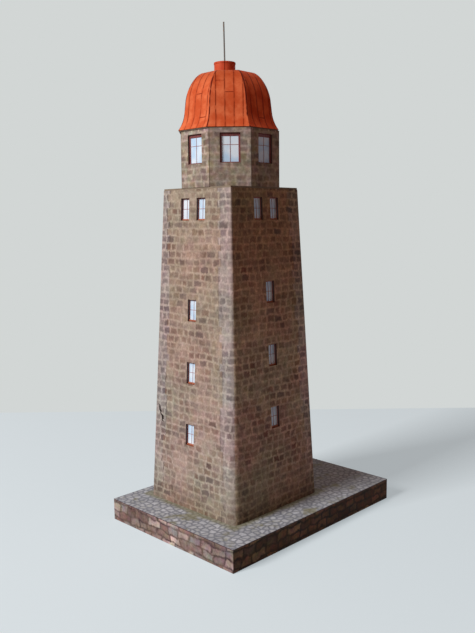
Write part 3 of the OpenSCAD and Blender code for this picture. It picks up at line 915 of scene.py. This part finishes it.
def door_boards(opening):
    """Upright boards side by side on the door leaf, with two rails across them."""
    half_w, half_h = opening[4:]
    pitch = 2 * half_w / BOARDS
    middles = (np.arange(BOARDS) + 0.5) * pitch - half_w
    low, high = -half_h + LAP / 2, half_h - DOOR_GAP
    end = half_w - DOOR_GAP
    upright = [
        strip_of(opening, (x, low), (x, high), pitch - BOARD_GAP, BOARD_RISE) for x in middles
    ]
    rails = [
        strip_of(opening, (-end, v), (end, v), RAIL_W, RAIL_RISE)
        for v in (-half_h * RAIL_V, half_h * RAIL_V)
    ]
    return upright + rails


# ---- stage, in metres ----

CAMERA_AZIMUTH = 44.61
CAMERA_ELEVATION = 7.46
CAMERA_ROLL = -0.61
CAMERA_DISTANCE = 0.36256
CAMERA_LENS = 41.33
AIM = Vector((0.00192, 0.00189, 0.10199))
SHEET_HALF = 0.205
SHEET_Z = -0.0001


def direction(azimuth, elevation):
    """Unit vector towards a place at that azimuth, from -Y towards +X, and elevation."""
    a, e = math.radians(azimuth), math.radians(elevation)
    return Vector((math.sin(a) * math.cos(e), -math.cos(a) * math.cos(e), math.sin(e)))


def make_camera():
    """The camera, looking at the aim."""
    data = bpy.data.cameras.new("camera")
    data.lens = CAMERA_LENS
    data.sensor_width = 36
    data.clip_start = 0.01
    camera = bpy.data.objects.new("camera", data)
    back = direction(CAMERA_AZIMUTH, CAMERA_ELEVATION)
    camera.location = AIM + back * CAMERA_DISTANCE
    camera.rotation_mode = "QUATERNION"
    roll = Quaternion((0, 0, 1), math.radians(CAMERA_ROLL))
    camera.rotation_quaternion = (-back).to_track_quat("-Z", "Y") @ roll
    bpy.context.scene.collection.objects.link(camera)
    bpy.context.scene.camera = camera


def make_lamp(name, azimuth, elevation, distance, size, power, colour):
    """A square lamp that faces the aim and isn't seen itself."""
    data = bpy.data.lights.new(name, "AREA")
    data.size = size
    data.energy = power
    data.color = srgb(colour)[:3]
    lamp = bpy.data.objects.new(name, data)
    towards = direction(azimuth, elevation)
    lamp.location = AIM + towards * distance
    lamp.rotation_mode = "QUATERNION"
    lamp.rotation_quaternion = (-towards).to_track_quat("-Z", "Y")
    lamp.visible_camera = False
    bpy.context.scene.collection.objects.link(lamp)


def make_sheet():
    """The pale sheet that the model stands on, square to the camera, just below the model."""
    right = direction(CAMERA_AZIMUTH + 90, 0) * SHEET_HALF
    ahead = direction(CAMERA_AZIMUTH + 180, 0) * SHEET_HALF
    centre = Vector((0, 0, SHEET_Z))
    corners = [centre + right * a + ahead * b for a, b in ((-1, -1), (1, -1), (1, 1), (-1, 1))]
    mesh = bpy.data.meshes.new("sheet")
    mesh.from_pydata([tuple(c) for c in corners], [], [(0, 1, 2, 3)])
    mesh.materials.append(sheet_paper())
    sheet = bpy.data.objects.new("sheet", mesh)
    bpy.context.scene.collection.objects.link(sheet)


def seen_directly(tree):
    """1 for rays from the camera, in mirrors or through glass, where the background shows."""
    path = add(tree, "LightPath")
    either = add(
        tree,
        "Math",
        [path.outputs["Is Camera Ray"], path.outputs["Is Glossy Ray"]],
        operation="MAXIMUM",
    )
    return add(tree, "Math", [either, path.outputs["Is Transmission Ray"]], operation="MAXIMUM")


def sheet_paper():
    """Matt white paper. It is seen nearly white, keeps the shadow, and throws little light
    back."""
    made = bpy.data.materials.new("matt_paper_sheet")
    made.use_nodes = True
    tree = made.node_tree
    tree.nodes.clear()
    thrown = add(tree, "BsdfDiffuse", {"Color": srgb("#bcc0c0")})
    lit = add(tree, "BsdfDiffuse", {"Color": srgb("#b4bbbf")})
    glow = add(tree, "Emission", {"Color": srgb("#e6f6fd"), "Strength": 0.42})
    seen = add(tree, "AddShader", [lit, glow])
    mixed = add(tree, "MixShader", [seen_directly(tree), thrown, seen])
    add(tree, "OutputMaterial", [mixed])
    return made


def make_world():
    """Soft even light from all round, and a pale grey wall colour where the world itself
    shows."""
    world = bpy.data.worlds.new("studio")
    world.use_nodes = True
    tree = world.node_tree
    tree.nodes.clear()
    ambient = add(tree, "Background", {"Color": srgb("#ffc8b0"), "Strength": 0.15})
    wall = add(tree, "Background", {"Color": srgb("#d2d6d5"), "Strength": 1.0})
    mixed = add(tree, "MixShader", [seen_directly(tree), ambient, wall])
    add(tree, "OutputWorld", [mixed])
    bpy.context.scene.world = world


# ---- the model ----


def finish_node(node, material):
    """Gives a CAD node its finish."""
    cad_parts[node].material_slots[0].material = material


def dress_shaft():
    """The front has the leaning band and the tear, and the rolled corners have no openings."""
    front = shaft_stone(
        "printed_card_coursed_stone_front",
        LEANING_BAND,
        left_seam=0.65,
        has_cut_edges=True,
        is_torn=True,
    )
    others = shaft_stone(
        "printed_card_coursed_stone", EVEN_BAND, left_seam=0.45, has_cut_edges=True
    )
    rolled = shaft_stone(
        "printed_card_rolled_quoins", EVEN_BAND, left_seam=0.15, has_cut_edges=False
    )
    for face in FACES:
        finish_node(face + "_wall", front if face == "front" else others)
    for end in ("front", "back"):
        for side in ("right", "left"):
            finish_node(end + "_" + side + "_corner", rolled)


def dress_windows():
    """Printed glazing, with the bars, frames and sills that stand on it."""
    glass = glazing_print()
    frame_paint = painted_card("painted_card_window_frame", "#652d2e", "#7f4544")
    bar_paint = painted_card("painted_card_window_bars", "#9a6261", "#b07d79")
    sill_paint = painted_card("painted_card_sill", "#98543e", "#b47054")
    for face in FACES:
        node = face + "_windows"
        finish_node(node, glass)
        found = openings(node, 4, BATTER)
        bars = [part for opening in found for part in shaft_window(opening)]
        sills = [shaft_sill(opening) for opening in found]
        add_piece(face + "_window_bars", bars, bar_paint)
        add_piece(face + "_window_sills", sills, sill_paint)
    finish_node("lantern_windows", glass)
    found = openings("lantern_windows", 8, 0)
    bars = [part for opening in found for part in lantern_window(opening)]
    frames = [ring_of(opening, LANTERN_FRAME, FRAME_RISE) for opening in found]
    add_piece("lantern_window_bars", bars, bar_paint)
    add_piece("lantern_window_frames", frames, frame_paint)


def dress_lantern():
    """Printed ashlar on the eight walls, and plain card over and under them."""
    stone = lantern_stone()
    for side in SIDES:
        finish_node("lantern_wall_" + side, stone)
    finish_node("shaft_deck", plain_card("printed_card_deck", "#857767"))
    finish_node("eave_plate", plain_card("printed_card_eave", "#6d5c4f"))


def dress_roof():
    """Printed roofing on the petals and the cap, and wire for the spire."""
    roofing = roof_print()
    for side in SIDES:
        finish_node("dome_petal_" + side, roofing)
    cap = cap_print()
    finish_node("cap_drum", cap)
    finish_node("cap_disc", cap)
    finish_node("spire", oiled_wire())


def dress_terrace():
    """Printed rubble on the walls and cobbles on the deck, over a base of greyboard."""
    stone = terrace_stone()
    for face in FACES:
        finish_node("terrace_" + face + "_wall", stone)
    finish_node("terrace_deck", paving())
    finish_node("terrace_base", plain_card("greyboard_base", "#a39a8e"))


def dress_door():
    """Painted boards on the leaf behind the doorway."""
    wood = painted_card("painted_card_oak_boards", "#4c2f22", "#6e4733")
    finish_node("entrance_door", wood)
    leaf = openings("entrance_door", 4, BATTER)[0]
    add_piece("entrance_door_boards", door_boards(leaf), wood)


dress_shaft()
dress_windows()
dress_lantern()
dress_roof()
dress_terrace()
dress_door()

make_camera()
make_sheet()
make_world()
make_lamp(
    "window_light",
    azimuth=-8.5,
    elevation=30,
    distance=2.0,
    size=0.55,
    power=41.0,
    colour="#fffdfb",
)
bpy.context.scene.view_settings.view_transform = "Standard"
